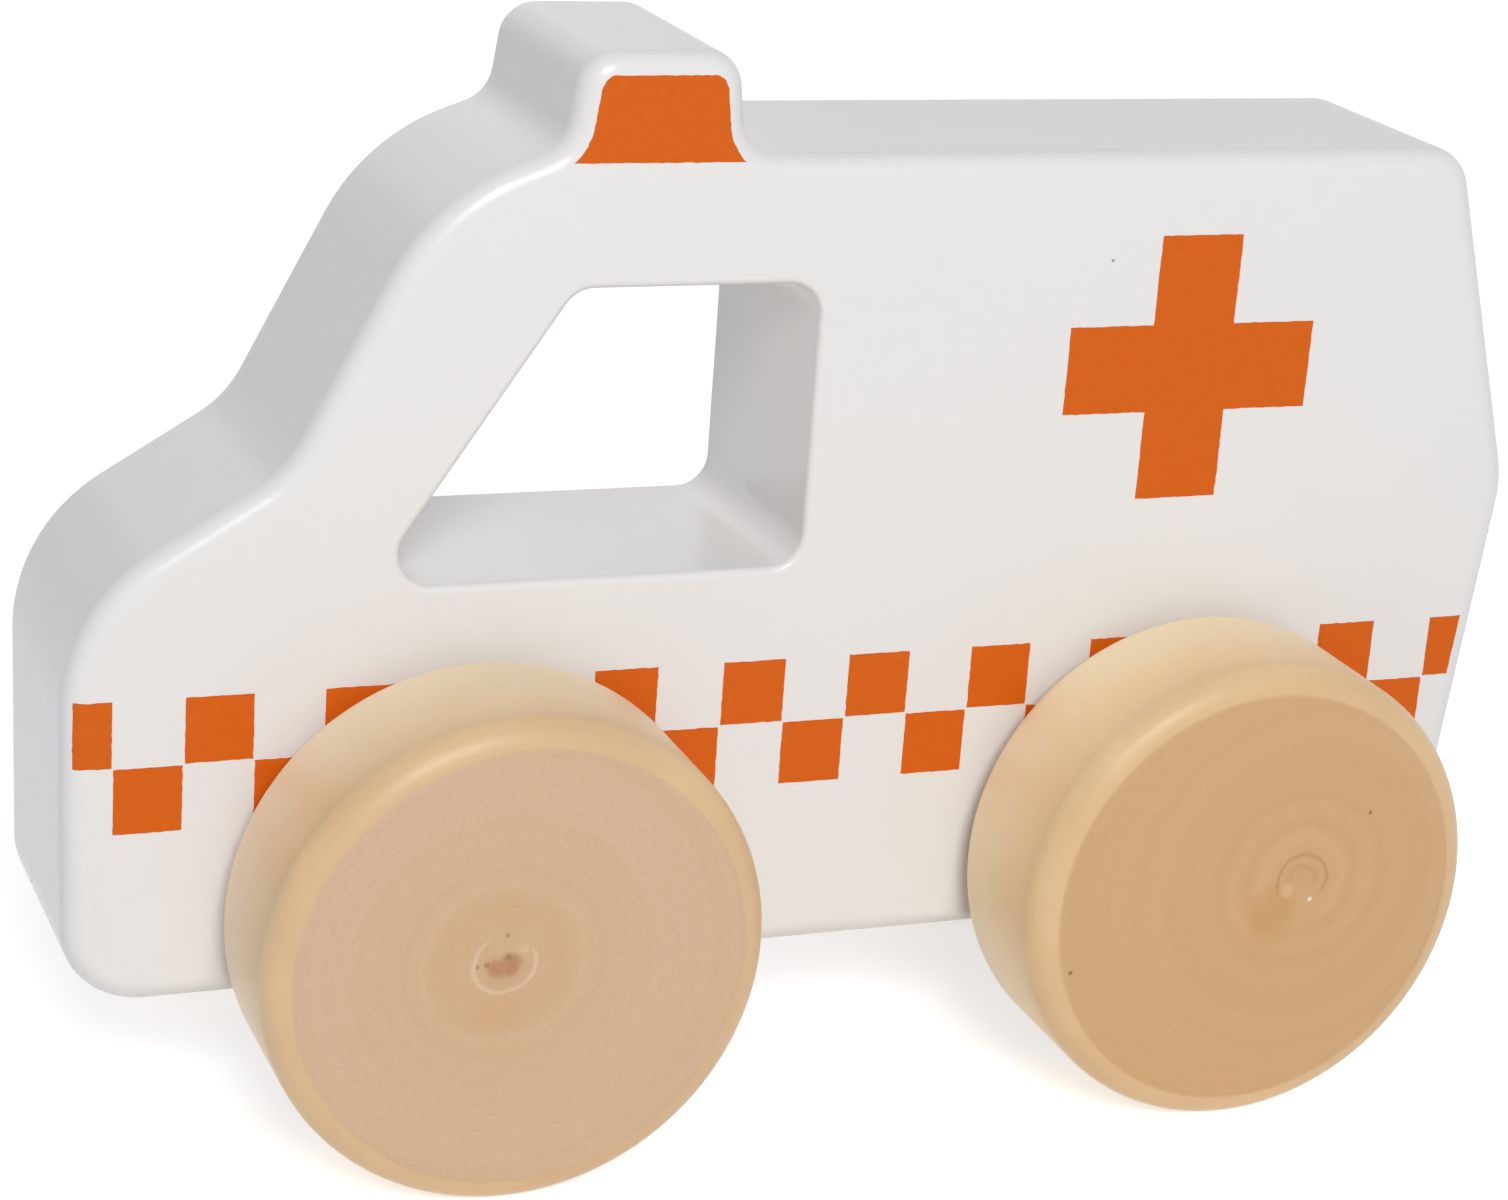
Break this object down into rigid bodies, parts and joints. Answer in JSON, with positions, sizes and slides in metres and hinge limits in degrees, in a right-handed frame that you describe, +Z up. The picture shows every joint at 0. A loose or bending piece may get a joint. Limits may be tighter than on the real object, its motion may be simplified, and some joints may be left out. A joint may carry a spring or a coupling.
{
  "type": "toy ambulance",
  "caption": "Wooden push-along toy ambulance: a thick board body with a rounded outline, roof beacon and see-through window, rolling on dowel axles with turned wheels.",
  "frame": {"origin": "on the floor, under the middle of the body's length, in the toy's middle plane", "axes": "+X forward towards the nose, +Y towards the toy's left side, +Z up"},
  "size_m": [0.1368, 0.0606, 0.0955],
  "materials": {
    "white_paint": "satin white paint on sanded wood",
    "orange_ink": "flat orange ink printed on the painted wood",
    "bare_wood": "sanded and oiled pale hardwood"
  },
  "bodies": {
    "chassis": {"body": "white_paint"},
    "front_wheelset": {"front_axle": "bare_wood", "front_left_wheel": "bare_wood", "front_right_wheel": "bare_wood"},
    "rear_wheelset": {"rear_axle": "bare_wood", "rear_left_wheel": "bare_wood", "rear_right_wheel": "bare_wood"}
  },
  "joints": [
    {"name": "front_roll", "type": "hinge", "parent": "chassis", "child": "front_wheelset", "pos_m": [0.0332, 0, 0.022], "axis": [0, 1, 0], "continuous": true},
    {"name": "rear_roll", "type": "hinge", "parent": "chassis", "child": "rear_wheelset", "pos_m": [-0.036, 0, 0.022], "axis": [0, 1, 0], "continuous": true}
  ]
}
